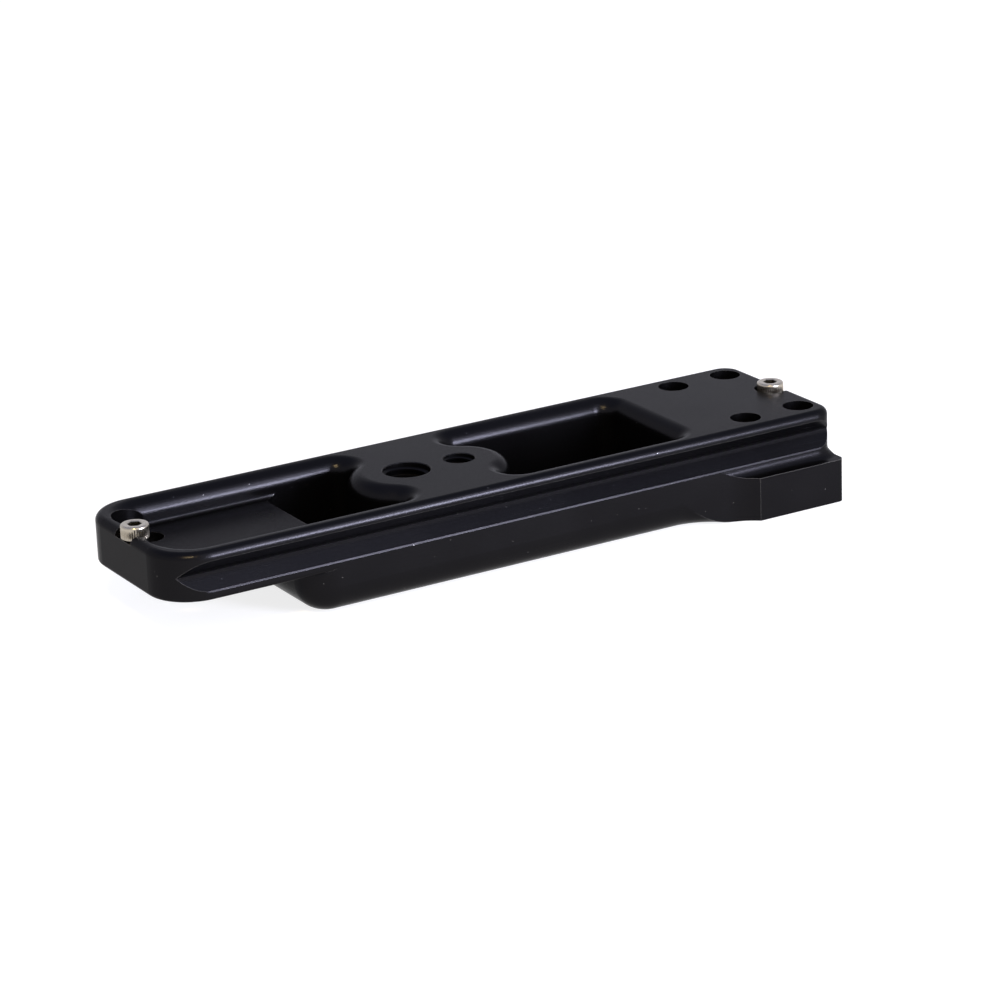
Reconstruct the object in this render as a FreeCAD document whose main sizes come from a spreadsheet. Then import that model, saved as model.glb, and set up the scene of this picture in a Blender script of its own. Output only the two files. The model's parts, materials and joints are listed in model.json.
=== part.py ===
import FreeCAD, Part
import math
import os
import Sketcher

# Lens collar foot: a machined aluminium foot with a dovetail rail, and the two stop screws at its ends.
# Frame in millimetres: +Z up to the dovetail face, +X along the foot to the heel (the lens seat end),
# origin on the underside at the centre of the four lens screw holes. The other end is the toe.
# A reach is a distance along the foot from that centre, and an inset is one from an end of the foot.

SIZES = (
    # the dovetail plate
    ("foot_height", 19.0),
    ("dovetail_width", 38.1),
    ("toe_reach", 139.5),
    ("heel_reach", 11.65),
    ("toe_corner_radius", 9.1),
    ("heel_corner_radius", 4.3),
    ("plate_thickness", 9.7),
    ("plate_edge_radius", 0.8),
    ("top_edge_radius", 1.5),
    # the dovetail groove
    ("rim_height", 1.92),
    ("groove_depth", 2.6),
    ("flank_height", 2.97),
    ("flank_break_width", 0.1),
    ("flank_break_height", 0.3),
    # the keel, the deep part below the plate
    ("keel_reach", 110.1),
    ("keel_edge_radius", 6.0),
    ("keel_corner_margin", 0.7),
    ("runout_reach", 25.6),
    ("runout_tip_radius", 8.5),
    # the lens seat, the wide block at the heel
    ("seat_width", 44.4),
    ("seat_reach", 9.2),
    ("seat_thickness", 9.0),
    ("seat_flare_radius", 10.5),
    ("seat_corner_radius", 1.6),
    ("shelf_radius", 1.8),
    # the pockets
    ("rim_flat", 0.4),
    ("toe_rim_flat", 0.25),
    ("pocket_edge_radius", 3.0),
    ("pocket_corner_radius", 3.1),
    ("pocket_depth", 15.0),
    ("toe_pocket_corner_radius", 5.8),
    ("toe_floor_depth", 4.85),
    ("toe_floor_radius", 0.6),
    ("step_reach", 102.6),
    ("heel_pocket_reach", 22.15),
    # the boss between the pockets, with its two tapped holes
    ("large_thread_reach", 77.85),
    ("thread_spacing", 11.9),
    ("large_boss_gap", 2.45),
    ("small_boss_gap", 4.15),
    ("large_thread_diameter", 9.525),
    ("small_thread_diameter", 6.35),
    ("thread_depth", 12.5),
    ("thread_chamfer", 0.15),
    # the four lens screw holes
    ("lens_screw_pitch_x", 12.9),
    ("lens_screw_pitch_y", 26.3),
    ("lens_screw_bore", 3.4),
    ("lens_head_bore", 6.4),
    ("lens_head_depth", 3.4),
    # the two holes in the toe pocket's floor, with the wide bores that make room above them
    ("floor_hole_diameter", 6.1),
    ("floor_hole_inset", 8.9),
    ("floor_hole_pitch", 15.1),
    ("floor_bore_diameter", 13.9),
    # the stop screws and their recesses
    ("stop_toe_inset", 2.7),
    ("stop_heel_inset", 2.85),
    ("stop_recess_width", 6.7),
    ("stop_recess_depth", 1.45),
    ("stop_hole_depth", 8.0),
    ("stop_shank_diameter", 3.0),
    ("stop_shank_clearance", 0.05),
    ("stop_shank_length", 7.0),
    ("stop_head_diameter", 5.5),
    ("stop_head_height", 2.9),
    ("stop_head_chamfer", 0.3),
    ("stop_socket_size", 2.5),
    ("stop_socket_depth", 1.4),
    # how far a cutting profile reaches past what it cuts
    ("cut_margin", 1.0),
)

START, END, CENTRE = range(1, 4)
X_AXIS, Y_AXIS = range(-1, -3, -1)
ORIGIN_POINT = (X_AXIS, START)
NEAR_ZERO = 1e-6
HALF_TURN = 180
QUARTER_TURN = 90
UP = FreeCAD.Vector(0, 0, 1)

doc = FreeCAD.newDocument("lens_collar_foot")
sheet = doc.addObject("Spreadsheet::Sheet", "Sizes")
for row, (alias, value) in enumerate(SIZES, start=1):
    sheet.set(f"A{row}", alias)
    sheet.set(f"B{row}", str(value))
    sheet.setAlias(f"B{row}", alias)
doc.recompute()


class Measure:
    """A length that carries its number and the sheet expression that gives it."""

    def __init__(self, value, text):
        self.value = value
        self.text = text

    def __add__(self, other):
        return Measure(self.value + other.value, f"({self.text} + {other.text})")

    def __sub__(self, other):
        return Measure(self.value - other.value, f"({self.text} - {other.text})")

    def __mul__(self, factor):
        return Measure(self.value * factor, f"({self.text} * {factor!r})")

    def __neg__(self):
        return self * -1


def cell(alias):
    return Measure(float(sheet.get(alias)), f"Sizes.{alias}")


# Places that several features share.
top = cell("foot_height")
margin = cell("cut_margin")
toe_end = -cell("toe_reach")
heel_end = cell("heel_reach")
heel_round = cell("heel_corner_radius")
body_half = cell("dovetail_width") * 0.5
seat_half = cell("seat_width") * 0.5
plate_bottom = top - cell("plate_thickness")
keel_radius = cell("keel_edge_radius")
keel_toe = -cell("keel_reach")
runout = -cell("runout_reach")
rim_rounding = cell("top_edge_radius") + cell("pocket_edge_radius")
pocket_half = body_half - rim_rounding - cell("rim_flat")
pocket_corner = cell("pocket_corner_radius")
toe_pocket_wall = toe_end + rim_rounding + cell("toe_rim_flat")
step = -cell("step_reach")
heel_pocket_wall = -cell("heel_pocket_reach")
large_thread = -cell("large_thread_reach")
small_thread = large_thread + cell("thread_spacing")
stop_places = {"toe": toe_end + cell("stop_toe_inset"), "heel": heel_end - cell("stop_heel_inset")}
slot_ends = {"toe": toe_end - margin, "heel": heel_end + margin}


def hold(sketch, kind, geometry, point, measure):
    """Ties one coordinate of a sketch point to the sheet, measured from the sketch's origin."""
    if abs(measure.value) < NEAR_ZERO:
        axis = Y_AXIS if kind == "DistanceX" else X_AXIS
        sketch.addConstraint(Sketcher.Constraint("PointOnObject", geometry, point, axis))
        return
    ends = (*ORIGIN_POINT, geometry, point)
    if measure.value < 0:
        ends = (geometry, point, *ORIGIN_POINT)
        measure = -measure
    index = sketch.addConstraint(Sketcher.Constraint(kind, *ends, measure.value))
    sketch.setExpression(f"Constraints[{index}]", measure.text)


def hold_x(sketch, geometry, point, measure):
    hold(sketch, "DistanceX", geometry, point, measure)


def hold_y(sketch, geometry, point, measure):
    hold(sketch, "DistanceY", geometry, point, measure)


def hold_radius(sketch, geometry, measure):
    index = sketch.addConstraint(Sketcher.Constraint("Radius", geometry, measure.value))
    sketch.setExpression(f"Constraints[{index}]", measure.text)


def add_line(sketch, start, end):
    line = Part.LineSegment(FreeCAD.Vector(*start, 0), FreeCAD.Vector(*end, 0))
    return sketch.addGeometry(line), START, END


def add_arc(sketch, centre, radius, first, last):
    """Adds an arc travelled from one angle to another, and says which of its ends comes first."""
    circle = Part.Circle(FreeCAD.Vector(*centre, 0), UP, radius)
    low, high = math.radians(min(first, last)), math.radians(max(first, last))
    geometry = sketch.addGeometry(Part.ArcOfCircle(circle, low, high))
    return (geometry, START, END) if last > first else (geometry, END, START)


def close_loop(sketch, pieces, sharp=()):
    """Joins each piece to the next, smoothly except after the ones in sharp."""
    for number, (geometry, _, leave) in enumerate(pieces):
        following, enter, _ = pieces[(number + 1) % len(pieces)]
        kind = "Coincident" if number in sharp else "Tangent"
        sketch.addConstraint(Sketcher.Constraint(kind, geometry, leave, following, enter))


def polygon(sketch, corners):
    """Draws a closed polygon whose corners are all tied to the sheet."""
    places = [(x.value, y.value) for x, y in corners]
    lines = [add_line(sketch, a, b) for a, b in zip(places, places[1:] + places[:1])]
    close_loop(sketch, lines, sharp=range(len(lines)))
    for (line, start, _), (x, y) in zip(lines, corners):
        hold_x(sketch, line, start, x)
        hold_y(sketch, line, start, y)


def rounded_box(sketch, west, east, south, north, radii):
    """Draws a box whose corners, from the south-west one round, have a radius or None."""
    corners = ((west, south), (east, south), (east, north), (west, north))
    inward = ((1, 1), (-1, 1), (-1, -1), (1, -1))
    rounds = [radius.value if radius else 0.0 for radius in radii]
    centres = [
        (x.value + sx * r, y.value + sy * r) for (x, y), (sx, sy), r in zip(corners, inward, rounds)
    ]
    pieces, sharp, sides = [], [], []
    for side in range(4):
        after = (side + 1) % 4
        turn = 90 * side
        out = (math.sin(math.radians(turn)), -math.cos(math.radians(turn)))
        start = [c + o * rounds[side] for c, o in zip(centres[side], out)]
        end = [c + o * rounds[after] for c, o in zip(centres[after], out)]
        pieces.append(add_line(sketch, start, end))
        sides.append(pieces[-1][0])
        if radii[after]:
            pieces.append(add_arc(sketch, centres[after], rounds[after], turn - 90, turn))
            hold_radius(sketch, pieces[-1][0], radii[after])
        else:
            sharp.append(len(pieces) - 1)
    close_loop(sketch, pieces, sharp)
    for line, kind in zip(sides, ("Horizontal", "Vertical", "Horizontal", "Vertical")):
        sketch.addConstraint(Sketcher.Constraint(kind, line))
    hold_y(sketch, sides[0], START, south)
    hold_x(sketch, sides[1], START, east)
    hold_y(sketch, sides[2], START, north)
    hold_x(sketch, sides[3], START, west)


def boss_pocket(sketch, wall, boss, boss_radius):
    """Draws a pocket from a straight end wall to a round boss, with S-curves from the boss to the sides."""
    side = 1 if wall.value > boss.value else -1
    r, half = pocket_corner.value, pocket_half.value
    across = half - r
    lobe_x = boss.value + side * math.sqrt((boss_radius.value + r) ** 2 - across ** 2)
    corner_x = wall.value - side * r
    lean = math.degrees(math.atan2(across, abs(lobe_x - boss.value)))

    def arc(centre, radius, first, last):
        if side < 0:
            first, last = 180 - first, 180 - last
        return add_arc(sketch, centre, radius, first, last)

    near = add_line(sketch, (lobe_x, -half), (corner_x, -half))
    near_corner = arc((corner_x, -across), r, -90, 0)
    end = add_line(sketch, (wall.value, -across), (wall.value, across))
    far_corner = arc((corner_x, across), r, 0, 90)
    far = add_line(sketch, (corner_x, half), (lobe_x, half))
    far_lobe = arc((lobe_x, across), r, 90, 180 + lean)
    boss_face = arc((boss.value, 0), boss_radius.value, lean, -lean)
    near_lobe = arc((lobe_x, -across), r, 180 - lean, 270)
    close_loop(sketch, [near, near_corner, end, far_corner, far, far_lobe, boss_face, near_lobe])
    for line, kind in ((near, "Horizontal"), (end, "Vertical"), (far, "Horizontal")):
        sketch.addConstraint(Sketcher.Constraint(kind, line[0]))
    for round_part in (near_corner, far_corner, far_lobe, near_lobe):
        hold_radius(sketch, round_part[0], pocket_corner)
    hold_radius(sketch, boss_face[0], boss_radius)
    hold_y(sketch, near[0], START, -pocket_half)
    hold_y(sketch, far[0], START, pocket_half)
    hold_x(sketch, end[0], START, wall)
    hold_x(sketch, boss_face[0], CENTRE, boss)
    sketch.addConstraint(Sketcher.Constraint("PointOnObject", boss_face[0], CENTRE, X_AXIS))


def circles(sketch, centres, diameter):
    """Draws one circle of the same diameter about each centre."""
    radius = diameter * 0.5
    for x, y in centres:
        circle = Part.Circle(FreeCAD.Vector(x.value, y.value, 0), UP, radius.value)
        geometry = sketch.addGeometry(circle)
        hold_radius(sketch, geometry, radius)
        hold_x(sketch, geometry, CENTRE, x)
        hold_y(sketch, geometry, CENTRE, y)


def new_sketch(body, role, name, height=None, shift=None):
    """Starts a sketch on one of the body's own planes, raised along its normal and shifted along its x."""
    plane = next(feature for feature in body.Origin.OriginFeatures if feature.Role == role)
    sketch = body.newObject("Sketcher::SketchObject", name)
    sketch.AttachmentSupport = [(plane, "")]
    sketch.MapMode = "FlatFace"
    if height:
        sketch.setExpression("AttachmentOffset.Base.z", height.text)
    if shift:
        sketch.setExpression("AttachmentOffset.Base.x", shift.text)
    return sketch


def check_change(body, before, sign, name):
    """Stops the build if a feature did not add or remove material."""
    doc.recompute()
    change = (body.Shape.Volume - before) * sign
    if change <= NEAR_ZERO:
        raise RuntimeError(f"{name} changed the volume by {change:.3f}")


def pad(body, sketch, name, length):
    before = body.Shape.Volume if body.Tip and not body.Shape.isNull() else 0.0
    feature = body.newObject("PartDesign::Pad", name)
    feature.Profile = sketch
    feature.setExpression("Length", length.text)
    check_change(body, before, 1, name)
    return feature


def pocket(body, sketch, name, depth=None, both_ways=False):
    """Cuts a sketch down into the body by a depth, or right through it."""
    before = body.Shape.Volume
    feature = body.newObject("PartDesign::Pocket", name)
    feature.Profile = sketch
    if both_ways:
        feature.SideType = "Symmetric"
    if depth:
        feature.setExpression("Length", depth.text)
    else:
        feature.Type = "ThroughAll"
    check_change(body, before, -1, name)
    return feature


def mirror_across(body, originals, name):
    """Repeats features on the other side of the foot's long centre plane."""
    before = body.Shape.Volume
    plane = next(feature for feature in body.Origin.OriginFeatures if feature.Role == "XZ_Plane")
    feature = body.newObject("PartDesign::Mirrored", name)
    feature.Originals = originals
    feature.MirrorPlane = (plane, [""])
    body.Tip = feature
    check_change(body, before, -1, name)


def turn_cut(body, sketch, name, angle, clockwise=False):
    """Cuts a sketch into the body, turned about the sketch's upright axis, on both sides of the foot."""
    before = body.Shape.Volume
    cut = body.newObject("PartDesign::Groove", name)
    cut.Profile = sketch
    cut.ReferenceAxis = (sketch, ["V_Axis"])
    cut.Angle = angle
    cut.Reversed = clockwise
    check_change(body, before, -1, name)
    mirror_across(body, [cut], f"{name}s")


def round_edges(body, name, radius, wanted):
    """Rounds every edge of the body that the test picks out."""
    base = body.Tip
    names = [f"Edge{i}" for i, edge in enumerate(base.Shape.Edges, start=1) if wanted(edge.BoundBox)]
    if not names:
        raise RuntimeError(f"{name} found no edge")
    feature = body.newObject("PartDesign::Fillet", name)
    feature.Base = (base, names)
    feature.setExpression("Radius", radius.text)
    doc.recompute()


def flat_at(box, level):
    """Tells whether an edge lies in the level plane at this height."""
    return abs(box.ZMin - level.value) < NEAR_ZERO and abs(box.ZMax - level.value) < NEAR_ZERO


def make_plate(body):
    """The long plate with its rounded top edge and the dovetail groove along both sides."""
    toe_round = cell("toe_corner_radius")
    outline = new_sketch(body, "XY_Plane", "plate_outline", plate_bottom)
    radii = (toe_round, heel_round, heel_round, toe_round)
    rounded_box(outline, toe_end, heel_end, -body_half, body_half, radii)
    pad(body, outline, "plate", cell("plate_thickness"))
    round_edges(body, "top_edge", cell("top_edge_radius"), lambda box: flat_at(box, top))

    # The cut is drawn twice as deep as the groove, so that its wide side stays outside the plate.
    # A narrow steep facet breaks the edge below the lower flank.
    depth = cell("groove_depth")
    flank = cell("flank_height")
    groove_bottom = top - cell("rim_height") - flank
    break_width = cell("flank_break_width")
    break_top = groove_bottom - flank + break_width
    break_end = break_top - cell("flank_break_height") * 2
    profile = new_sketch(body, "YZ_Plane", "groove_profile")
    polygon(profile, (
        (body_half - depth, groove_bottom),
        (body_half - break_width, break_top),
        (body_half + break_width, break_end),
        (body_half + depth, break_end),
        (body_half + depth, groove_bottom + flank * 2),
    ))
    groove = pocket(body, profile, "dovetail_groove", both_ways=True)
    mirror_across(body, [groove], "dovetail_grooves")

    round_edges(body, "plate_edge", cell("plate_edge_radius"), lambda box: flat_at(box, plate_bottom))


def make_keel(body):
    """The deep body below the plate, rounded below as far as the run-outs, and the square heel block."""
    height = plate_bottom + cell("plate_edge_radius")
    keel_corner = keel_radius + cell("keel_corner_margin")
    outline = new_sketch(body, "XY_Plane", "keel_outline")
    radii = (keel_corner, None, None, keel_corner)
    rounded_box(outline, keel_toe, runout, -body_half, body_half, radii)
    pad(body, outline, "keel", height)

    def keel_edge(box):
        return box.ZMax < NEAR_ZERO and box.XMin < runout.value - NEAR_ZERO

    round_edges(body, "keel_edge", keel_radius, keel_edge)

    outline = new_sketch(body, "XY_Plane", "heel_outline")
    radii = (None, heel_round, heel_round, None)
    rounded_box(outline, runout, heel_end, -body_half, body_half, radii)
    pad(body, outline, "heel_block", height)


def make_seat(body):
    """The wide lens seat, with a concave flare and a shelf on each side, and the keel's run-outs."""
    flare = cell("seat_flare_radius")
    shelf = cell("seat_thickness")
    shelf_round = cell("shelf_radius")
    corner = cell("seat_corner_radius")
    rise = (seat_half - body_half).value
    flare_start = -cell("seat_reach").value - math.sqrt(2 * flare.value * rise - rise ** 2)
    lean = math.degrees(math.acos(1 - rise / flare.value))
    flare_centre = body_half.value + flare.value
    corner_x = heel_end.value - corner.value
    corner_y = seat_half.value - corner.value
    edge_x = -cell("seat_reach").value

    outline = new_sketch(body, "XY_Plane", "seat_outline")
    back = add_line(outline, (flare_start, body_half.value), (flare_start, -body_half.value))
    near_flare = add_arc(outline, (flare_start, -flare_centre), flare.value, 90, 90 - lean)
    near = add_line(outline, (edge_x, -seat_half.value), (corner_x, -seat_half.value))
    near_corner = add_arc(outline, (corner_x, -corner_y), corner.value, -90, 0)
    end = add_line(outline, (heel_end.value, -corner_y), (heel_end.value, corner_y))
    far_corner = add_arc(outline, (corner_x, corner_y), corner.value, 0, 90)
    far = add_line(outline, (corner_x, seat_half.value), (edge_x, seat_half.value))
    far_flare = add_arc(outline, (flare_start, flare_centre), flare.value, -90 + lean, -90)
    pieces = [back, near_flare, near, near_corner, end, far_corner, far, far_flare]
    close_loop(outline, pieces, sharp=(0, 1, 6, 7))
    for line, kind in ((near, "Horizontal"), (end, "Vertical"), (far, "Horizontal")):
        outline.addConstraint(Sketcher.Constraint(kind, line[0]))
    for round_part in (near_corner, far_corner):
        hold_radius(outline, round_part[0], corner)
    for (round_part, _, _), meet in ((near_flare, near_flare[1]), (far_flare, far_flare[2])):
        hold_radius(outline, round_part, flare)
        outline.addConstraint(Sketcher.Constraint("Vertical", round_part, meet, round_part, CENTRE))
    hold_y(outline, back[0], START, body_half)
    hold_y(outline, back[0], END, -body_half)
    hold_y(outline, near[0], START, -seat_half)
    hold_y(outline, far[0], START, seat_half)
    hold_x(outline, end[0], START, heel_end)
    hold_x(outline, near[0], START, -cell("seat_reach"))
    hold_x(outline, far[0], END, -cell("seat_reach"))
    pad(body, outline, "seat", shelf + shelf_round)

    profile = new_sketch(body, "YZ_Plane", "shelf_profile")
    radii = (shelf_round, None, None, None)
    rounded_box(profile, body_half, seat_half + margin, shelf, shelf + shelf_round + margin, radii)
    shelf_cut = pocket(body, profile, "shelf", both_ways=True)
    mirror_across(body, [shelf_cut], "shelves")

    # The shelf goes on round the heel corners of the body.
    turn_x, turn_y = heel_end - heel_round, body_half - heel_round
    profile = new_sketch(body, "YZ_Plane", "heel_shelf_profile", height=turn_x, shift=turn_y)
    shelf_end = seat_half - turn_y + margin * 2
    rounded_box(profile, heel_round, shelf_end, shelf, shelf + shelf_round + margin, radii)
    turn_cut(body, profile, "heel_shelf", QUARTER_TURN, clockwise=True)

    tip = cell("runout_tip_radius")
    profile = new_sketch(body, "YZ_Plane", "runout_profile", height=runout, shift=body_half + tip)
    tip_x, edge_x = -tip.value, -(tip + keel_radius).value
    round_face = add_arc(profile, (edge_x, keel_radius.value), keel_radius.value, 0, -90)
    down = add_line(profile, (edge_x, 0), (edge_x, -margin.value))
    under = add_line(profile, (edge_x, -margin.value), (0, -margin.value))
    axis = add_line(profile, (0, -margin.value), (0, keel_radius.value))
    over = add_line(profile, (0, keel_radius.value), (tip_x, keel_radius.value))
    close_loop(profile, [round_face, down, under, axis, over], sharp=range(5))
    for line, kind in ((down, "Vertical"), (under, "Horizontal"), (axis, "Vertical"), (over, "Horizontal")):
        profile.addConstraint(Sketcher.Constraint(kind, line[0]))
    profile.addConstraint(Sketcher.Constraint("Vertical", round_face[0], CENTRE, down[0], START))
    hold_x(profile, down[0], START, -(tip + keel_radius))
    hold_y(profile, down[0], START, Measure(0.0, "0"))
    hold_y(profile, under[0], START, -margin)
    hold_x(profile, axis[0], START, Measure(0.0, "0"))
    hold_y(profile, over[0], START, keel_radius)
    hold_x(profile, over[0], END, -tip)
    turn_cut(body, profile, "runout", HALF_TURN)


def make_pockets(body):
    """The shallow and deep toe pocket, the heel pocket, and the large rounding along their top edges."""
    floor_depth = cell("toe_floor_depth")
    toe_round = cell("toe_pocket_corner_radius")
    outline = new_sketch(body, "XY_Plane", "toe_floor_outline", top)
    radii = (toe_round, None, None, toe_round)
    floor_end = step + pocket_corner + margin
    rounded_box(outline, toe_pocket_wall, floor_end, -pocket_half, pocket_half, radii)
    pocket(body, outline, "toe_floor", floor_depth)

    def floor_edge(box):
        if not flat_at(box, top - floor_depth) or abs(box.YMin) > pocket_half.value + NEAR_ZERO:
            return False
        return box.XMin < floor_end.value - NEAR_ZERO

    round_edges(body, "toe_floor_edge", cell("toe_floor_radius"), floor_edge)

    deep = cell("pocket_depth")
    outline = new_sketch(body, "XY_Plane", "toe_pocket_outline", top)
    boss_pocket(outline, step, large_thread, pocket_half - cell("large_boss_gap"))
    pocket(body, outline, "toe_pocket", deep)
    outline = new_sketch(body, "XY_Plane", "heel_pocket_outline", top)
    boss_pocket(outline, heel_pocket_wall, small_thread, pocket_half - cell("small_boss_gap"))
    pocket(body, outline, "heel_pocket", deep)

    def pocket_edge(box):
        if not flat_at(box, top) or max(-box.YMin, box.YMax) > pocket_half.value + NEAR_ZERO:
            return False
        west, east = toe_pocket_wall.value, heel_pocket_wall.value
        return west - NEAR_ZERO < box.XMin and box.XMax < east + NEAR_ZERO

    round_edges(body, "pocket_edge", cell("pocket_edge_radius"), pocket_edge)


def add_hole(body, sketch, name, diameter, depth=None, cut_type="None", cut_diameter=None, cut_depth=None):
    """Drills a sketch's circles, blind or right through, with a counterbore or countersink at the mouth."""
    before = body.Shape.Volume
    hole = body.newObject("PartDesign::Hole", name)
    hole.Profile = sketch
    doc.recompute()
    hole.ThreadType = "None"
    hole.setExpression("Diameter", diameter.text)
    hole.DrillPoint = "Flat"
    if depth:
        hole.DepthType = "Dimension"
        hole.setExpression("Depth", depth.text)
    else:
        hole.DepthType = "ThroughAll"
    hole.HoleCutType = cut_type
    if cut_type != "None":
        hole.HoleCutCustomValues = True
        hole.setExpression("HoleCutDiameter", cut_diameter.text)
    if cut_depth:
        hole.setExpression("HoleCutDepth", cut_depth.text)
    check_change(body, before, -1, name)


def make_holes(body):
    """The lens screw holes, the tapped holes, the floor holes and bores, and the stop screw recesses."""
    half_x = cell("lens_screw_pitch_x") * 0.5
    half_y = cell("lens_screw_pitch_y") * 0.5
    corners = [(x, y) for x in (-half_x, half_x) for y in (-half_y, half_y)]
    sketch = new_sketch(body, "XY_Plane", "lens_screw_centres", top)
    circles(sketch, corners, cell("lens_screw_bore"))
    add_hole(
        body, sketch, "lens_screw_holes", cell("lens_screw_bore"), cut_type="Counterbore",
        cut_diameter=cell("lens_head_bore"), cut_depth=cell("lens_head_depth"),
    )

    middle = Measure(0.0, "0")
    for name, place in (("large_thread", large_thread), ("small_thread", small_thread)):
        diameter = cell(f"{name}_diameter")
        sketch = new_sketch(body, "XY_Plane", f"{name}_centre", top)
        circles(sketch, [(place, middle)], diameter)
        add_hole(
            body, sketch, f"{name}_hole", diameter, depth=cell("thread_depth"), cut_type="Countersink",
            cut_diameter=diameter + cell("thread_chamfer") * 2,
        )

    half_pitch = cell("floor_hole_pitch") * 0.5
    sketch = new_sketch(body, "XY_Plane", "floor_hole_centres", top)
    places = [(toe_end + cell("floor_hole_inset"), y) for y in (-half_pitch, half_pitch)]
    circles(sketch, places, cell("floor_hole_diameter"))
    pocket(body, sketch, "floor_holes")
    sketch = new_sketch(body, "XY_Plane", "floor_bore_centres", top)
    circles(sketch, places, cell("floor_bore_diameter"))
    pocket(body, sketch, "floor_bores", cell("toe_floor_depth"))

    centres = [(x, middle) for x in stop_places.values()]
    width = cell("stop_recess_width")
    sketch = new_sketch(body, "XY_Plane", "stop_recess_centres", top)
    circles(sketch, centres, width)
    pocket(body, sketch, "stop_recesses", cell("stop_recess_depth"))
    sketch = new_sketch(body, "XY_Plane", "stop_slot_outlines", top)
    for end, x in stop_places.items():
        corners = [(x, -width * 0.5), (slot_ends[end], -width * 0.5)]
        corners += [(slot_ends[end], width * 0.5), (x, width * 0.5)]
        polygon(sketch, corners)
    pocket(body, sketch, "stop_slots", cell("stop_recess_depth"))
    bore = cell("stop_shank_diameter") + cell("stop_shank_clearance") * 2
    sketch = new_sketch(body, "XY_Plane", "stop_hole_centres", top)
    circles(sketch, centres, bore)
    pocket(body, sketch, "stop_holes", cell("stop_recess_depth") + cell("stop_hole_depth"))


def make_foot_body():
    """The foot itself, machined from one bar."""
    body = doc.addObject("PartDesign::Body", "foot_body")
    body.Label = "foot_body"
    make_plate(body)
    make_keel(body)
    make_seat(body)
    make_pockets(body)
    make_holes(body)
    return body


def make_stop_screw(end, place):
    """One socket head cap screw, seated on the floor of its recess."""
    head_radius = cell("stop_head_diameter") * 0.5
    head = cell("stop_head_height")
    chamfer = cell("stop_head_chamfer")
    shank_radius = cell("stop_shank_diameter") * 0.5
    shank_end = -cell("stop_shank_length")
    middle = Measure(0.0, "0")
    body = doc.addObject("PartDesign::Body", f"{end}_stop_screw")
    profile = new_sketch(body, "XZ_Plane", f"{end}_screw_profile")
    polygon(profile, (
        (middle, shank_end),
        (shank_radius, shank_end),
        (shank_radius, middle),
        (head_radius, middle),
        (head_radius, head - chamfer),
        (head_radius - chamfer, head),
        (middle, head),
    ))
    turned = body.newObject("PartDesign::Revolution", f"{end}_screw_turned")
    turned.Profile = profile
    turned.ReferenceAxis = (profile, ["V_Axis"])
    doc.recompute()

    corner = cell("stop_socket_size") * (1 / math.sqrt(3))
    angles = [math.radians(60 * k) for k in range(6)]
    hexagon = [(corner * round(math.cos(a), 9), corner * round(math.sin(a), 9)) for a in angles]
    sketch = new_sketch(body, "XY_Plane", f"{end}_socket_outline", head)
    polygon(sketch, hexagon)
    pocket(body, sketch, f"{end}_socket", cell("stop_socket_depth"))
    body.setExpression("Placement.Base.x", place.text)
    body.setExpression("Placement.Base.z", (top - cell("stop_recess_depth")).text)
    return body


def make_stop_screws():
    """The two stop screws, which are alike, as one group of separate solids."""
    group = doc.addObject("Part::Compound", "stop_screws")
    group.Label = "stop_screws"
    group.Links = [make_stop_screw(end, place) for end, place in stop_places.items()]
    return group


sub_parts = [make_foot_body(), make_stop_screws()]
doc.recompute()

for item in doc.Objects:
    if "Invalid" in item.State or "Error" in item.State:
        raise RuntimeError(f"{item.Name} failed: {item.State}")
for part in sub_parts:
    if part.Shape.isNull() or not part.Shape.isValid():
        raise RuntimeError(f"{part.Label} has no valid shape")

os.makedirs("parts", exist_ok=True)
for part in sub_parts:
    part.Shape.exportStep(f"parts/{part.Label}.step")
    box = part.Shape.BoundBox
    print(f"{part.Label}: {len(part.Shape.Solids)} solids, {part.Shape.Volume:.1f} mm3,", box)
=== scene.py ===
"""Looks of a lens collar foot: its finishes, its tapped threads, its stop screws and a studio stage."""
import json
import math

import bpy
import numpy as np
from bpy.props import FloatProperty, FloatVectorProperty, IntProperty, PointerProperty
from bpy.types import Operator, Panel, PropertyGroup
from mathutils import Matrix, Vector


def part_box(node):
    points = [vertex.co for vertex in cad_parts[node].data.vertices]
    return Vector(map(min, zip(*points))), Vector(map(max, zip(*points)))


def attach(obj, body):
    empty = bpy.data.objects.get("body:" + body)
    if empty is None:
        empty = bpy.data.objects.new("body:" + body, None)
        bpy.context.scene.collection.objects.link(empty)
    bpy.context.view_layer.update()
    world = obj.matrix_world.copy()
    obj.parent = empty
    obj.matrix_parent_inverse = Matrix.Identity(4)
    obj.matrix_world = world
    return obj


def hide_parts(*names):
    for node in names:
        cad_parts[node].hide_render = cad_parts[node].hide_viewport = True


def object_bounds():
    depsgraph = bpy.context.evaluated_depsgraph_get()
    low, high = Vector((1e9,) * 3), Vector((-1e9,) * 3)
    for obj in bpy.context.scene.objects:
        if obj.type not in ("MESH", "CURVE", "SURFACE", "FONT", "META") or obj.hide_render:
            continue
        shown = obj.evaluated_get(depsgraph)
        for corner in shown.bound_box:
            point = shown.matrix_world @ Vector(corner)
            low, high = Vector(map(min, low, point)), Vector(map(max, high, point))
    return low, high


bl_info = {
    "name": "Lens Collar Foot",
    "version": (1, 0, 0),
    "blender": (4, 5, 0),
    "location": "3D View > Sidebar > Lens Foot",
    "description": "Dresses the packed lens collar foot and sets it on a plain stage",
    "category": "Object",
}

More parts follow.
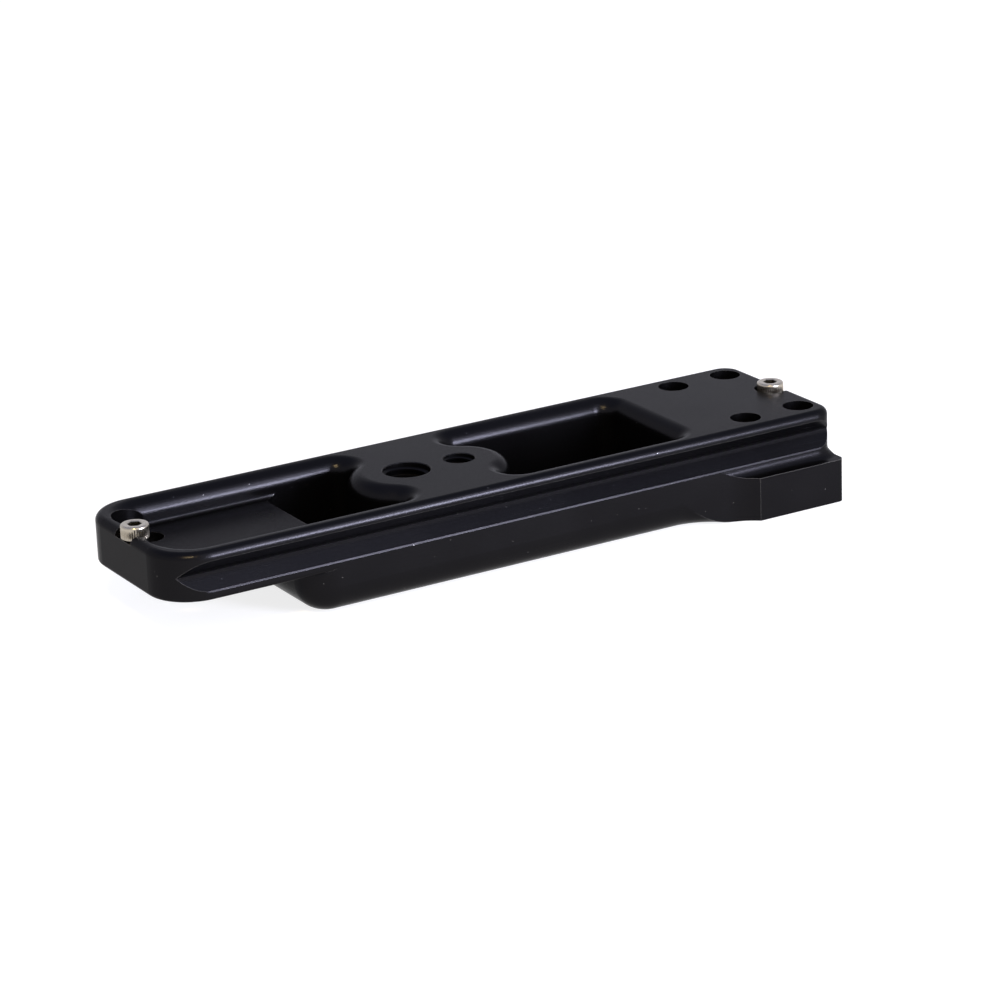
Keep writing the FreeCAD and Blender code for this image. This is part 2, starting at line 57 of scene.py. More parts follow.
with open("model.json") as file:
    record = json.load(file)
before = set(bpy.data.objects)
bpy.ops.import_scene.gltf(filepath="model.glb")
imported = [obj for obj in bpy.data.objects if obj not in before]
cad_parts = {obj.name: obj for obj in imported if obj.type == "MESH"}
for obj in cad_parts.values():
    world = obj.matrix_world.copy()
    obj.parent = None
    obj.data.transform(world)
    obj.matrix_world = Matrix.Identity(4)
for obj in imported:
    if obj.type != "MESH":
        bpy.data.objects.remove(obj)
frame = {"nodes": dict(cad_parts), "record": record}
CAD_BOX = [list(corner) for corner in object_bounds()]
TAPPED_MOUNTS = {"large": "tripod_3_8", "small": "tripod_1_4"}
MM = 0.001
INCH = 0.0254
FULL_TURN = 2 * math.pi

# The noise patterns of the finishes: how finely they are broken up, and their middle value.
BROAD_DETAIL = 2
FINE_DETAIL = 3
NOISE_MIDDLE = 0.5
# The values at which a pattern or a mask starts to change a finish and has changed it fully.
CLOUD_LIMITS = (0.2, 0.8)
MARK_LIMITS = (0.3, 0.7)
WEAR_AND_HIGHLIGHT_LIMITS = (0.97, 0.8)
# The worn limits set where the lighter edge line, partly wear and partly a painted highlight, begins and where
# it is full.
CORNER_LIMITS = (0.95, 0.75)
# The recess limits set where the painted shade deep in the screws' sockets begins and where it is full.
SOCKET_SHADE_LIMITS = (0.95, 0.6)
# The part of a dust speck's radius that is solid, and how many rays look for walls close by.
SPECK_CORE = 0.5
SHUT_IN_SAMPLES = 6

# The stop screws: points per groove, each row's share of the groove's depth, rows of the rounded edge, and the
# bevel at the shank's end as a share of its radius.
STEPS_PER_GROOVE = 8
GROOVE_FADE = (0, 0.6, 1, 1, 1, 0.6, 0)
EDGE_STEPS = 5
SHANK_BEVEL = 0.2
# The threads: points per turn, and the part of the fade that is left at the very end of a ridge.
STEPS_PER_TURN = 64
THINNEST_END = 0.02
# The floor's points along a side, and the angle past which an edge of a new mesh is sharp.
FLOOR_POINTS = 9
SMOOTH_ANGLE = math.radians(32)

# The stage: the heights at which the surroundings change, as sines of the angle above the horizon.
SKY_LIMITS = (0.38, 0.8)
FLOOR_ROUGHNESS = 0.9
COOL_LAMPS = ("key", "fill", "high")


def length(name, description, default):
    """A property that holds a length in metres."""
    return FloatProperty(name=name, description=description, default=default, unit="LENGTH", precision=5)


def colour(name, description, default):
    """A property that holds a linear colour."""
    return FloatVectorProperty(name=name, description=description, default=default, subtype="COLOR", size=3)


def share(name, description, default):
    """A property that holds a number from 0 to 1."""
    return FloatProperty(name=name, description=description, default=default, subtype="FACTOR", min=0, max=1)


def place(name, description, default):
    """A property that holds a point in metres."""
    return FloatVectorProperty(
        name=name, description=description, default=default, subtype="TRANSLATION", unit="LENGTH", precision=5
    )


def power(name, description, default):
    """A property that holds a lamp's power in watts."""
    return FloatProperty(name=name, description=description, default=default, unit="POWER")


class AnodisedFinish(PropertyGroup):
    """The black anodised aluminium of the foot."""

    tone: colour("Tone", "Colour of the dyed oxide layer", (0.0097, 0.0095, 0.0104))
    pale_tone: colour("Pale tone", "Colour of the paler clouds in the layer", (0.0112, 0.0109, 0.0118))
    # The worn tone lightens sharp edges: partly wear of the oxide, partly a painted highlight along the edges.
    wear_and_highlight_tone: colour("Worn tone", "Colour of the layer where an edge has worn thin", (0.2, 0.195, 0.19))
    dust_tone: colour("Dust", "Colour of the dust specks", (0.3, 0.29, 0.28))
    metal_share: share("Metal", "How much of the light the metal below the layer sends back", 0.9)
    edge_tint: colour("Edge tint", "What the layer lets through at a grazing angle", (0.61, 0.61, 0.61))
    roughness: share("Roughness", "Middle roughness of the satin surface", 0.25)
    cloud_roughness: share("Cloud roughness", "How far the clouds move the roughness", 0.03)
    streak_roughness: share("Streak roughness", "How far the milled streaks move the roughness", 0.05)
    cloud_size: length("Cloud size", "Size of the faint clouds", 0.014)
    grain_size: length("Grain size", "Size of the fine blasted grain", 0.00025)
    grain_height: length("Grain height", "Full swing of the grain's height", 0.000025)
    streak_length: length("Streak length", "Length of the streaks left by the dovetail cutter", 0.06)
    streak_width: length("Streak width", "Width of those streaks", 0.0005)
    streak_inner: length("Streak inner", "Where the streaks begin, from the centre plane", 0.0163)
    streak_outer: length("Streak outer", "Where the streaks end, from the centre plane", 0.0189)
    # The edge radius also sets how far the lighter edge line reaches, which is partly wear and partly a
    # painted highlight.
    edge_radius: length("Edge radius", "How far the worn line at a sharp edge reaches", 0.00015)
    break_inner: length("Break inner", "Where the lower edge's facet begins, from the centre plane", 0.01893)
    break_outer: length("Break outer", "Where that facet ends, from the centre plane", 0.01904)
    break_low: length("Break low", "Height that the facet stays above", 0.0108)
    break_high: length("Break high", "Height that the facet stays below", 0.0125)
    break_roughness: share("Break roughness", "How much rougher the facet is", 0.13)
    corner_reach: length("Corner reach", "How far the rough band in an inside corner reaches", 0.001)
    corner_roughness: share("Corner roughness", "How much rougher an inside corner is", 0.5)
    dust_gap: length("Dust gap", "Distance between the places where dust may lie", 0.0016)
    dust_radius: length("Dust radius", "Size of the dust specks", 0.00008)
    dust_share: share("Dust share", "How many of those places hold a speck", 0.5)
    dust_slope: share("Dust slope", "Upward part of a face's normal past which it is wiped clean", 0.85)


class SteelFinish(PropertyGroup):
    """The bright stainless steel of the stop screws."""

    tone: colour("Tone", "Colour of the bare steel", (0.38, 0.345, 0.28))
    # The recess tone is painted shade: a darker steel colour where the socket's walls shut the steel in.
    socket_shade_tone: colour("Recess tone", "Colour of the steel deep in the socket", (0.14, 0.12, 0.09))
    socket_shade_reach: length("Recess reach", "How near a facing wall shades the steel", 0.002)
    roughness: share("Roughness", "Middle roughness of the steel", 0.27)
    roughness_spread: share("Roughness spread", "How far the roughness strays from the middle", 0.08)
    grain_size: length("Grain size", "Size of the fine marks in the steel", 0.00012)
    grain_height: length("Grain height", "Depth of the fine marks", 0.000003)


class StopScrew(PropertyGroup):
    """A socket head cap screw. The places and the head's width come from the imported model."""

    head_height: length("Head height", "Height of the head above the recess floor", 0.0029)
    edge_radius: length("Edge radius", "Rounding of the head's top edge", 0.00042)
    foot_bevel: length("Foot bevel", "Bevel of the head's lower edge", 0.00025)
    knurl_depth: length("Knurl depth", "Depth of the grooves in the head's side", 0.00018)
    knurl_count: IntProperty(name="Knurl count", description="Grooves around the head", default=36, min=6)
    knurl_top: length("Knurl top", "Plain band above the grooves", 0.0006)
    socket_width: length("Socket width", "Width of the socket across its flats", 0.0025)
    socket_depth: length("Socket depth", "Depth of the socket's flats", 0.0014)
    socket_bevel: length("Socket bevel", "Bevel at the socket's mouth", 0.00008)
    drill_depth: length("Drill depth", "Depth of the cone below the socket", 0.0004)
    shank_radius: length("Shank radius", "Radius of the shank", 0.0015)
    shank_length: length("Shank length", "Length of the shank", 0.007)


class TappedThread(PropertyGroup):
    """The threads in the two tapped holes. The holes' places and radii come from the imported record."""

    large_pitch: length("Large pitch", "Pitch of the large thread", INCH / 16)
    small_pitch: length("Small pitch", "Pitch of the small thread", INCH / 20)
    depth_share: share("Depth", "Thread depth as a share of the pitch", 0.38)
    crest_share: share("Crest", "Flat at the ridge's crest as a share of the pitch", 0.2)
    base_share: share("Base", "Width at the ridge's base as a share of the pitch", 0.64)
    sink: length("Sink", "How far the ridge's base lies inside the wall", 0.00004)
    start_angle: FloatProperty(
        name="Start",
        description="Where around the hole the ridge starts",
        default=math.radians(-144),
        subtype="ANGLE",
    )
    fade_turns: FloatProperty(
        name="Fade",
        description="Turns over which the ridge's ends fade out",
        default=0.3,
    )


class StudioStage(PropertyGroup):
    """The camera, the lamps, the surroundings and the floor."""

    camera_place: place("Camera place", "Where the camera stands", (-0.418903, -0.617171, 0.256636))
    camera_turn: FloatVectorProperty(
        name="Camera turn",
        description="How the camera is turned",
        default=[math.radians(angle) for angle in (70.8452, 2.059, -31.1093)],
        subtype="EULER",
    )
    camera_lens: FloatProperty(name="Lens", description="Focal length in millimetres", default=136.8)
    middle: place("Middle", "Point that the lamps face", (-0.064, 0.0, 0.015))
    key_place: place("Key place", "Where the key lamp stands", (0.14, -0.455, 0.113))
    key_width: length("Key width", "Width of the key lamp", 0.14)
    key_height: length("Key height", "Height of the key lamp", 0.15)
    key_power: power("Key power", "Power of the key lamp", 5.2)
    key_colour: colour("Key colour", "Colour of the cool lamps", (0.8, 0.82, 1.0))
    fill_place: place("Fill place", "Where the fill lamp stands, above the key lamp", (0.12, -0.4, 0.28))
    fill_width: length("Fill width", "Width of the fill lamp", 0.14)
    fill_height: length("Fill height", "Height of the fill lamp", 0.19)
    fill_power: power("Fill power", "Power of the fill lamp", 1.0)
    high_place: place("High place", "Where the high lamp stands", (0.03, -0.26, 0.39))
    high_width: length("High width", "Width of the high lamp", 0.2)
    high_height: length("High height", "Height of the high lamp", 0.12)
    high_power: power("High power", "Power of the high lamp", 0.14)
    warm_place: place("Warm place", "Where the warm lamp stands", (-0.372, -0.466, 0.569))
    warm_width: length("Warm width", "Width of the warm lamp", 0.15)
    warm_height: length("Warm height", "Height of the warm lamp", 0.05)
    warm_power: power("Warm power", "Power of the warm lamp", 3.6)
    warm_colour: colour("Warm colour", "Colour of the warm lamp", (1.0, 0.75, 0.35))
    sky_low: colour("Low surroundings", "Colour of the surroundings near the horizon", (0.94, 0.94, 1.05))
    sky_high: colour("High surroundings", "Colour of the surroundings overhead", (0.5, 0.55, 0.78))
    floor_colour: colour("Floor", "Colour of the floor", (0.32, 0.32, 0.32))
    floor_glow: share("Floor glow", "How much white the floor adds in the picture", 0.8)
    floor_size: length("Floor size", "Length of the floor's sides", 6.0)
    floor_drop: length("Floor drop", "How far the floor lies below the foot", 0.0002)


class LensFootSettings(PropertyGroup):
    """All the settings of the lens collar foot."""

    anodised: PointerProperty(type=AnodisedFinish)
    steel: PointerProperty(type=SteelFinish)
    screw: PointerProperty(type=StopScrew)
    thread: PointerProperty(type=TappedThread)
    stage: PointerProperty(type=StudioStage)


def new_material(name):
    """Starts a node material and gives back its tree and its shader."""
    material = bpy.data.materials.new(name)
    material.use_nodes = True
    return material, material.node_tree, material.node_tree.nodes["Principled BSDF"]


def add_node(tree, kind, **inputs):
    """Adds a shader node and sets or links its inputs by name, with underscores for spaces."""
    node = tree.nodes.new(kind)
    for name, value in inputs.items():
        socket = node.inputs[name.replace("_", " ")]
        if isinstance(value, bpy.types.NodeSocket):
            tree.links.new(value, socket)
        else:
            socket.default_value = value
    return node


def place_on(tree, scale=(1, 1, 1)):
    """Object coordinates, stretched by a scale along each axis."""
    point = tree.nodes.new("ShaderNodeTexCoord").outputs["Object"]
    return add_node(tree, "ShaderNodeMapping", Vector=point, Scale=scale).outputs["Vector"]


def noise(tree, size, detail):
    """A noise pattern whose marks are about as long as the sizes given along each axis."""
    point = place_on(tree, [1 / mark for mark in size])
    return add_node(tree, "ShaderNodeTexNoise", Vector=point, Scale=1, Detail=detail).outputs["Fac"]


def spread(tree, value, low, high, to_low, to_high):
    """Carries a value from one range to another and holds it there."""
    ends = {"From_Min": low, "From_Max": high, "To_Min": to_low, "To_Max": to_high}
    return add_node(tree, "ShaderNodeMapRange", Value=value, **ends).outputs["Result"]


def combine(tree, operation, first, second):
    """Works out one number from two."""
    node = tree.nodes.new("ShaderNodeMath")
    node.operation = operation
    for socket, value in zip(node.inputs, (first, second)):
        if isinstance(value, bpy.types.NodeSocket):
            tree.links.new(value, socket)
        else:
            socket.default_value = value
    return node.outputs["Value"]


def blend(tree, share_of_second, first, second):
    """Mixes two colours."""
    mix = tree.nodes.new("ShaderNodeMix")
    mix.data_type = "RGBA"
    factor, first_socket, second_socket = mix.inputs[0], mix.inputs[6], mix.inputs[7]
    tree.links.new(share_of_second, factor)
    for socket, value in ((first_socket, first), (second_socket, second)):
        if isinstance(value, bpy.types.NodeSocket):
            tree.links.new(value, socket)
        else:
            socket.default_value = (*value, 1)
    return mix.outputs[2]


def bump(tree, shader, height, distance):
    """Drives the shader's normal from a height pattern."""
    relief = add_node(tree, "ShaderNodeBump", Height=height, Distance=distance)
    tree.links.new(relief.outputs["Normal"], shader.inputs["Normal"])


def dust_mask(tree, finish):
    """Small round specks about some of the points of a cell pattern, on faces that don't look straight up."""
    cells = add_node(tree, "ShaderNodeTexVoronoi", Vector=place_on(tree), Scale=1 / finish.dust_gap)
    reach = finish.dust_radius / finish.dust_gap
    near = spread(tree, cells.outputs["Distance"], SPECK_CORE * reach, reach, 1, 0)
    chance = add_node(tree, "ShaderNodeSeparateColor", Color=cells.outputs["Color"]).outputs["Red"]
    speck = combine(tree, "MULTIPLY", near, combine(tree, "LESS_THAN", chance, finish.dust_share))
    normal = tree.nodes.new("ShaderNodeNewGeometry").outputs["True Normal"]
    upward = add_node(tree, "ShaderNodeSeparateXYZ", Vector=normal).outputs["Z"]
    return combine(tree, "MULTIPLY", speck, combine(tree, "LESS_THAN", upward, finish.dust_slope))


def streak_mask(tree, finish):
    """One on the flanks of the dovetail and nothing elsewhere, by the distance from the centre plane."""
    sides = add_node(tree, "ShaderNodeSeparateXYZ", Vector=place_on(tree)).outputs["Y"]
    away = combine(tree, "ABSOLUTE", sides, 0)
    soft = 2 * finish.edge_radius
    inner = spread(tree, away, finish.streak_inner, finish.streak_inner + soft, 0, 1)
    outer = spread(tree, away, finish.streak_outer - soft, finish.streak_outer, 1, 0)
    return combine(tree, "MULTIPLY", inner, outer)


def break_mask(tree, finish):
    """One on the narrow facets that break the dovetail's lower edges and nothing elsewhere."""
    axes = add_node(tree, "ShaderNodeSeparateXYZ", Vector=place_on(tree)).outputs
    away = combine(tree, "ABSOLUTE", axes["Y"], 0)
    past_inner = combine(tree, "GREATER_THAN", away, finish.break_inner)
    before_outer = combine(tree, "LESS_THAN", away, finish.break_outer)
    above = combine(tree, "GREATER_THAN", axes["Z"], finish.break_low)
    below = combine(tree, "LESS_THAN", axes["Z"], finish.break_high)
    across = combine(tree, "MULTIPLY", past_inner, before_outer)
    return combine(tree, "MULTIPLY", across, combine(tree, "MULTIPLY", above, below))


def shut_in_mask(tree, reach, limits):
    """One where a piece's own walls within a reach shut it in, and nothing where it is open.

    The limits are the open shares at which the mask starts and is full.
    """
    shut_in = tree.nodes.new("ShaderNodeAmbientOcclusion")
    shut_in.only_local = True
    shut_in.samples = SHUT_IN_SAMPLES
    shut_in.inputs["Distance"].default_value = reach
    return spread(tree, shut_in.outputs["AO"], *limits, 0, 1)


def anodised_material(name, finish, wear_and_highlight_tone):
    """Satin black oxide on metal, with clouds, fine grain, milled streaks, lighter edges that are partly wear
    and partly a painted highlight, and some dust.

    The tone of those lighter edges is given apart, because the threads inside the holes aren't worn and get no
    painted edge highlight.
    """
    material, tree, shader = new_material(name)
    clouds = noise(tree, [finish.cloud_size] * 3, BROAD_DETAIL)
    grain = noise(tree, [finish.grain_size] * 3, BROAD_DETAIL)
    streak_size = (finish.streak_length, finish.streak_width, finish.streak_width)
    streaks = combine(tree, "SUBTRACT", noise(tree, streak_size, FINE_DETAIL), NOISE_MIDDLE)
    milled = combine(tree, "MULTIPLY", streaks, streak_mask(tree, finish))

    edge = tree.nodes.new("ShaderNodeBevel")
    edge.inputs["Radius"].default_value = finish.edge_radius
    facing = tree.nodes.new("ShaderNodeVectorMath")
    facing.operation = "DOT_PRODUCT"
    tree.links.new(edge.outputs["Normal"], facing.inputs[0])
    tree.links.new(tree.nodes.new("ShaderNodeNewGeometry").outputs["True Normal"], facing.inputs[1])
    corner = shut_in_mask(tree, finish.corner_reach, CORNER_LIMITS)
    # Sharp convex edges get a lighter tone: partly wear, partly a painted highlight in place of the light that
    # small edge breaks catch.
    worn = spread(tree, facing.outputs["Value"], *WEAR_AND_HIGHLIGHT_LIMITS, 0, 1)
    worn = combine(tree, "MULTIPLY", worn, combine(tree, "SUBTRACT", 1, corner))

    tone = blend(tree, spread(tree, clouds, *CLOUD_LIMITS, 0, 1), finish.tone, finish.pale_tone)
    tone = blend(tree, worn, tone, wear_and_highlight_tone)
    tone = blend(tree, dust_mask(tree, finish), tone, finish.dust_tone)
    tree.links.new(tone, shader.inputs["Base Color"])
    middle, stray = finish.roughness, finish.cloud_roughness
    roughness = spread(tree, clouds, *CLOUD_LIMITS, middle - stray, middle + stray)
    changes = (
        (milled, 2 * finish.streak_roughness),
        (corner, finish.corner_roughness),
        (break_mask(tree, finish), finish.break_roughness),
    )
    for mask, amount in changes:
        roughness = combine(tree, "ADD", roughness, combine(tree, "MULTIPLY", mask, amount))
    tree.links.new(roughness, shader.inputs["Roughness"])
    bump(tree, shader, grain, finish.grain_height)
    shader.inputs["Metallic"].default_value = finish.metal_share
    shader.inputs["Specular Tint"].default_value = (*finish.edge_tint, 1)
    shader.inputs["Specular IOR Level"].default_value = 0
    return material


def steel_material(finish):
    """Bright stainless steel with fine marks that vary its roughness, with painted shade deep in the socket
    where its own walls shut it in.
    """
    material, tree, shader = new_material("screw_steel")
    marks = noise(tree, [finish.grain_size] * 3, FINE_DETAIL)
    middle, stray = finish.roughness, finish.roughness_spread
    roughness = spread(tree, marks, *MARK_LIMITS, middle - stray, middle + stray)
    tree.links.new(roughness, shader.inputs["Roughness"])
    bump(tree, shader, marks, finish.grain_height)
    # Painted shade: the steel is darkened where its own walls close by shut it in, as deep in the socket.
    recess = shut_in_mask(tree, finish.socket_shade_reach, SOCKET_SHADE_LIMITS)
    tree.links.new(blend(tree, recess, finish.tone, finish.socket_shade_tone), shader.inputs["Base Color"])
    shader.inputs["Metallic"].default_value = 1
    return material


def lofted_rings(rings, first_pole=None, last_pole=None):
    """Joins closed rings of equal length, an array (rings, points, 3), into a skin with optional end points.

    Face k of row i joins points k and k+1 of ring i to the same points of ring i+1, and a pole joins each
    side of its ring with a triangle.
    """
    rows, points = rings.shape[:2]
    vertices = rings.reshape(-1, 3)
    number = np.arange(rows * points).reshape(rows, points)
    ahead = np.roll(number, -1, axis=1)
    quads = np.stack([number[:-1], ahead[:-1], ahead[1:], number[1:]], axis=-1).reshape(-1, 4)
    faces = quads.tolist()
    if first_pole is not None:
        pole = np.full(points, len(vertices))
        vertices = np.vstack([vertices, first_pole])
        faces += np.stack([ahead[0], number[0], pole], axis=-1).tolist()
    if last_pole is not None:
        pole = np.full(points, len(vertices))
        vertices = np.vstack([vertices, last_pole])
        faces += np.stack([number[-1], ahead[-1], pole], axis=-1).tolist()
    return vertices, faces


def screw_skin(screw, head_radius):
    """One stop screw about its own axis, with its head's seat at height zero.

    The skin is r(angle, row) at z(row). Rows run up the shank, under the head, up its side, over its edge and
    down the socket. On the side r falls by half the knurl depth times one minus the cosine of the groove
    count times the angle. In the socket r is the hexagon's half width over the cosine of the angle to the
    nearest flat's middle.
    """
    steps = screw.knurl_count * STEPS_PER_GROOVE
    angle = np.arange(steps) * FULL_TURN / steps
    circle = np.ones(steps)
    groove = screw.knurl_depth * (0.5 - 0.5 * np.cos(screw.knurl_count * angle))
    sixth = FULL_TURN / 6
    hexagon = screw.socket_width / 2 / np.cos((angle + sixth / 2) % sixth - sixth / 2)
    mouth = screw.socket_width / math.sqrt(3) + screw.socket_bevel
    top = screw.head_height
    knurl_end = top - screw.knurl_top
    bend = np.linspace(0, FULL_TURN / 4, EDGE_STEPS)
    edge = head_radius - screw.edge_radius * (1 - np.cos(bend))
    edge_height = top - screw.edge_radius * (1 - np.sin(bend))
    knurl_height = np.linspace(screw.foot_bevel, knurl_end, len(GROOVE_FADE))
    radii = [
        (1 - SHANK_BEVEL) * screw.shank_radius * circle,
        screw.shank_radius * circle,
        screw.shank_radius * circle,
        (head_radius - screw.foot_bevel) * circle,
        *(head_radius - amount * groove for amount in GROOVE_FADE),
        *(value * circle for value in edge),
        mouth * circle,
        hexagon,
        hexagon,
    ]
    heights = [
        -screw.shank_length,
        -screw.shank_length + SHANK_BEVEL * screw.shank_radius,
        0,
        0,
        *knurl_height,
        *edge_height,
        top,
        top - screw.socket_bevel,
        top - screw.socket_depth,
    ]
    radius = np.array(radii)
    height = np.repeat(np.array(heights)[:, None], steps, axis=1)
    rings = np.stack([radius * np.cos(angle), radius * np.sin(angle), height], axis=-1)
    bottom = (0, 0, -screw.shank_length)
    drill = (0, 0, top - screw.socket_depth - screw.drill_depth)
    return lofted_rings(rings, bottom, drill)


def thread_skin(thread, pitch, wall_radius, low, high):
    """The ridge of one inside thread about its own axis, between two heights.

    Point j of the ridge's four-cornered profile, carried to turn t, stands at the wall's radius less its own
    share of the thread's depth, and at the start height plus pitch times t plus its own offset. The depth
    fades almost to nothing at both ends, with the smooth step 3x squared less 2x cubed.
    """
    base, crest = thread.base_share * pitch / 2, thread.crest_share * pitch / 2
    turns = (high - low - 2 * base) / pitch
    steps = int(turns * STEPS_PER_TURN)
    turn = np.linspace(0, turns, steps)
    ease = np.clip(np.minimum(turn, turns - turn) / thread.fade_turns, THINNEST_END, 1)
    ease = ease * ease * (3 - 2 * ease)
    profile = np.array([(-1, -base), (-1, base), (1, crest), (1, -crest)])
    inward = np.where(profile[:, 0] > 0, thread.depth_share * pitch * ease[:, None], -thread.sink)
    radius = wall_radius - inward
    height = low + base + pitch * turn[:, None] + profile[:, 1]
    angle = FULL_TURN * turn[:, None] + thread.start_angle
    rings = np.stack([radius * np.cos(angle), radius * np.sin(angle), height], axis=-1)
    vertices, faces = lofted_rings(rings)
    last = len(vertices)
    faces += [[3, 2, 1, 0], [last - 4, last - 3, last - 2, last - 1]]
    return vertices, faces


def floor_skin(size, height):
    """A level square: x and y run over an even grid and z stays at one height."""
    side = np.linspace(-size / 2, size / 2, FLOOR_POINTS)
    x, y = np.meshgrid(side, side)
    vertices = np.stack([x, y, np.full_like(x, height)], axis=-1).reshape(-1, 3)
    number = np.arange(side.size ** 2).reshape(side.size, side.size)
    faces = np.stack([number[:-1, :-1], number[:-1, 1:], number[1:, 1:], number[1:, :-1]], axis=-1)
    return vertices, faces.reshape(-1, 4).tolist()


def joined(skins, places):
    """Moves each skin to its place and puts them all in one list of points and faces."""
    vertices, faces = [], []
    count = 0
    for (points, polygons), shift in zip(skins, places):
        vertices.append(np.asarray(points) + np.asarray(shift))
        faces += [[index + count for index in polygon] for polygon in polygons]
        count += len(points)
    return np.vstack(vertices), faces


def add_piece(name, vertices, faces, material):
    """Makes a mesh object at the origin, smooth except across its sharp edges."""
    mesh = bpy.data.meshes.new(name)
    mesh.from_pydata(vertices.tolist(), [], faces)
    mesh.polygons.foreach_set("use_smooth", np.ones(len(faces), bool))
    mesh.set_sharp_from_angle(angle=SMOOTH_ANGLE)
    mesh.materials.append(material)
    if mesh.validate():
        raise RuntimeError(f"{name} has faulty faces")
    piece = bpy.data.objects.new(name, mesh)
    bpy.context.scene.collection.objects.link(piece)
    return piece


def dress(node, material):
    """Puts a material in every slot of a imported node."""
    for slot in frame["nodes"][node].material_slots:
        slot.material = material


def add_lamp(stage, name, tint):
    """Stands one of the stage's rectangular soft lamps in its place and turns its face to the middle."""
    lamp = bpy.data.lights.new(f"{name}_lamp", "AREA")
    lamp.shape = "RECTANGLE"
    lamp.size = getattr(stage, f"{name}_width")
    lamp.size_y = getattr(stage, f"{name}_height")
    lamp.energy = getattr(stage, f"{name}_power")
    lamp.color = tint
    item = bpy.data.objects.new(f"{name}_lamp", lamp)
    item.location = getattr(stage, f"{name}_place")
    away = item.location - Vector(stage.middle)
    item.rotation_euler = away.to_track_quat("Z", "Y").to_euler()
    bpy.context.scene.collection.objects.link(item)


class LENSFOOT_OT_foot(Operator):
    """Give the foot body its black anodised finish"""

    bl_idname = "lensfoot.foot"
    bl_label = "Finish Foot Body"

    def execute(self, context):
        finish = context.scene.lens_foot.anodised
        dress("foot_body", anodised_material("anodised_black", finish, finish.wear_and_highlight_tone))
        return {"FINISHED"}


class LENSFOOT_OT_threads(Operator):
    """Add the thread ridges of both tapped holes"""

    bl_idname = "lensfoot.threads"
    bl_label = "Add Threads"

    def execute(self, context):
        thread = context.scene.lens_foot.thread
        mounts = {mount["name"]: mount for mount in frame["record"]["mounts"]}
        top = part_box("foot_body")[1].z
        skins, places = [], []
        for size, name in TAPPED_MOUNTS.items():
            mount = mounts[name]
            wall, depth = mount["dims"]["r_mm"] * MM, mount["dims"]["length_mm"] * MM
            x, y, _ = mount["pos_m"]
            pitch = getattr(thread, f"{size}_pitch")
            skins.append(thread_skin(thread, pitch, wall, -depth, 0))
            places.append((x, y, top))
        vertices, faces = joined(skins, places)
        finish = context.scene.lens_foot.anodised
        material = anodised_material("tapped_black", finish, finish.tone)
        piece = add_piece("tapped_threads", vertices, faces, material)
        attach(piece, "root")
        return {"FINISHED"}


class LENSFOOT_OT_screws(Operator):
    """Make the two knurled stop screws"""

    bl_idname = "lensfoot.screws"
    bl_label = "Add Stop Screws"

    def execute(self, context):
        settings = context.scene.lens_foot
        low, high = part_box("stop_screws")
        head_radius = (high.y - low.y) / 2
        seat = high.z - settings.screw.head_height
        skin = screw_skin(settings.screw, head_radius)
        places = [(low.x + head_radius, 0, seat), (high.x - head_radius, 0, seat)]
        vertices, faces = joined([skin, skin], places)
        piece = add_piece("knurled_stop_screws", vertices, faces, steel_material(settings.steel))
        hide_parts("stop_screws")
        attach(piece, "root")
        return {"FINISHED"}


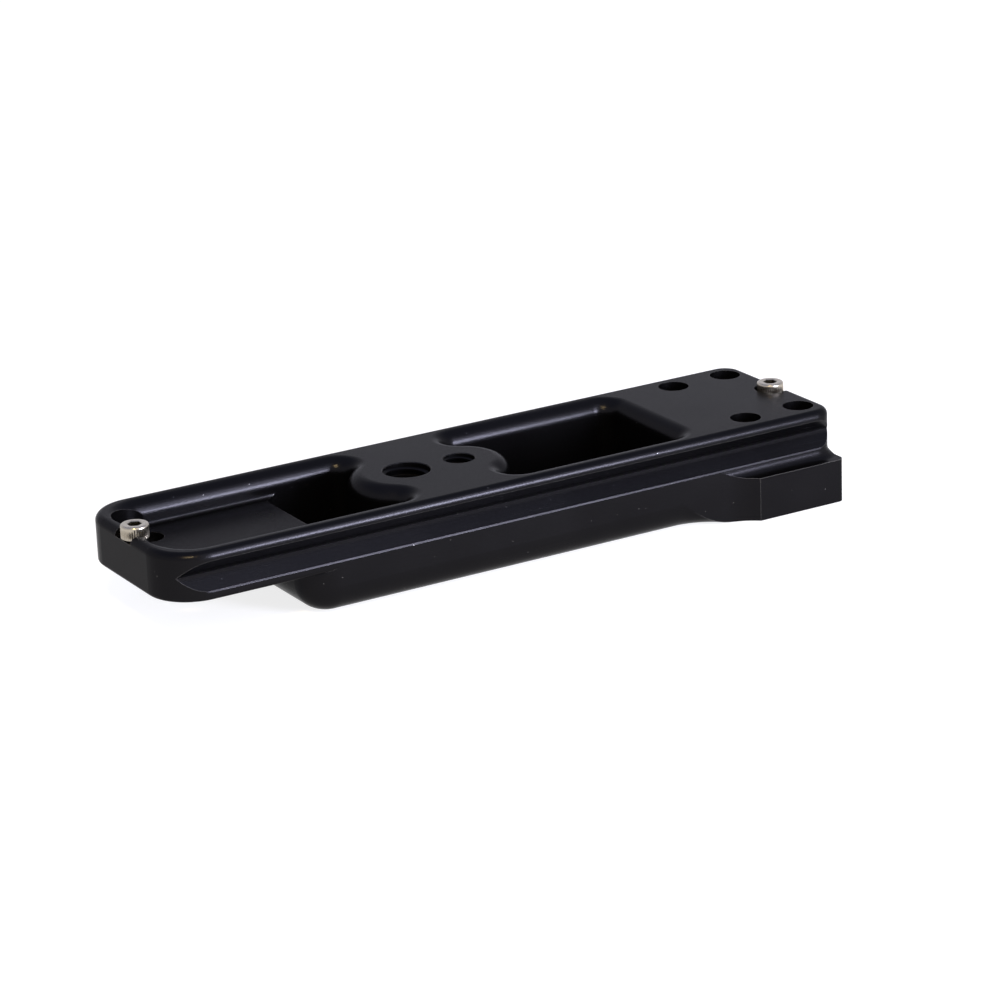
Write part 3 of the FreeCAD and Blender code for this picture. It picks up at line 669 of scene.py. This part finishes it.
class LENSFOOT_OT_stage(Operator):
    """Set the camera, the lamps, the surroundings and the floor"""

    bl_idname = "lensfoot.stage"
    bl_label = "Set Stage"

    def execute(self, context):
        scene = context.scene
        stage = scene.lens_foot.stage
        scene.view_settings.view_transform = "Standard"
        self.add_camera(scene, stage)
        for name in COOL_LAMPS:
            add_lamp(stage, name, stage.key_colour)
        add_lamp(stage, "warm", stage.warm_colour)
        self.add_surroundings(scene, stage)
        self.add_floor(stage)
        return {"FINISHED"}

    def add_camera(self, scene, stage):
        """Stands the camera where the photograph was taken from."""
        camera = bpy.data.cameras.new("camera")
        camera.lens = stage.camera_lens
        item = bpy.data.objects.new("camera", camera)
        item.location = stage.camera_place
        item.rotation_euler = stage.camera_turn
        scene.collection.objects.link(item)
        scene.camera = item

    def add_surroundings(self, scene, stage):
        """Surroundings that are pale near the horizon and dimmer overhead."""
        scene.world = bpy.data.worlds.new("studio")
        scene.world.use_nodes = True
        tree = scene.world.node_tree
        direction = tree.nodes.new("ShaderNodeTexCoord")
        split = tree.nodes.new("ShaderNodeSeparateXYZ")
        ramp = tree.nodes.new("ShaderNodeValToRGB")
        ramp.color_ramp.interpolation = "EASE"
        stops = zip(ramp.color_ramp.elements, SKY_LIMITS, (stage.sky_low, stage.sky_high))
        for stop, position, tone in stops:
            stop.position = position
            stop.color = (*tone, 1)
        tree.links.new(direction.outputs["Generated"], split.inputs["Vector"])
        tree.links.new(split.outputs["Z"], ramp.inputs["Fac"])
        tree.links.new(ramp.outputs["Color"], tree.nodes["Background"].inputs["Color"])

    def add_floor(self, stage):
        """A plain pale floor that takes the foot's shadow and adds an even white where it is seen."""
        material, tree, shader = new_material("studio_floor")
        shader.inputs["Base Color"].default_value = (*stage.floor_colour, 1)
        shader.inputs["Roughness"].default_value = FLOOR_ROUGHNESS
        shader.inputs["Specular IOR Level"].default_value = 0
        shader.inputs["Emission Color"].default_value = (1, 1, 1, 1)
        rays = tree.nodes.new("ShaderNodeLightPath").outputs
        seen = combine(tree, "MAXIMUM", rays["Is Camera Ray"], rays["Is Glossy Ray"])
        seen = combine(tree, "MAXIMUM", seen, rays["Is Transmission Ray"])
        glow = combine(tree, "MULTIPLY", seen, stage.floor_glow)
        tree.links.new(glow, shader.inputs["Emission Strength"])
        vertices, faces = floor_skin(stage.floor_size, CAD_BOX[0][2] - stage.floor_drop)
        add_piece("studio_floor", vertices, faces, material)


class LENSFOOT_PT_pieces(Panel):
    """The pieces of the lens collar foot and its stage"""

    bl_idname = "LENSFOOT_PT_pieces"
    bl_label = "Lens Collar Foot"
    bl_space_type = "VIEW_3D"
    bl_region_type = "UI"
    bl_category = "Lens Foot"

    def draw(self, context):
        for operator in OPERATORS:
            self.layout.operator(operator.bl_idname)


GROUPS = (AnodisedFinish, SteelFinish, StopScrew, TappedThread, StudioStage, LensFootSettings)
OPERATORS = (LENSFOOT_OT_foot, LENSFOOT_OT_threads, LENSFOOT_OT_screws, LENSFOOT_OT_stage)
CLASSES = (*GROUPS, *OPERATORS, LENSFOOT_PT_pieces)


def register():
    """Adds the settings, the operators and the panel to Blender."""
    for item in CLASSES:
        bpy.utils.register_class(item)
    bpy.types.Scene.lens_foot = PointerProperty(type=LensFootSettings)


def unregister():
    """Takes the settings, the operators and the panel out again."""
    del bpy.types.Scene.lens_foot
    for item in reversed(CLASSES):
        bpy.utils.unregister_class(item)


def main():
    """Makes every piece and the stage."""
    register()
    bpy.ops.lensfoot.foot()
    bpy.ops.lensfoot.threads()
    bpy.ops.lensfoot.screws()
    bpy.ops.lensfoot.stage()


if __name__ == "__main__":
    main()
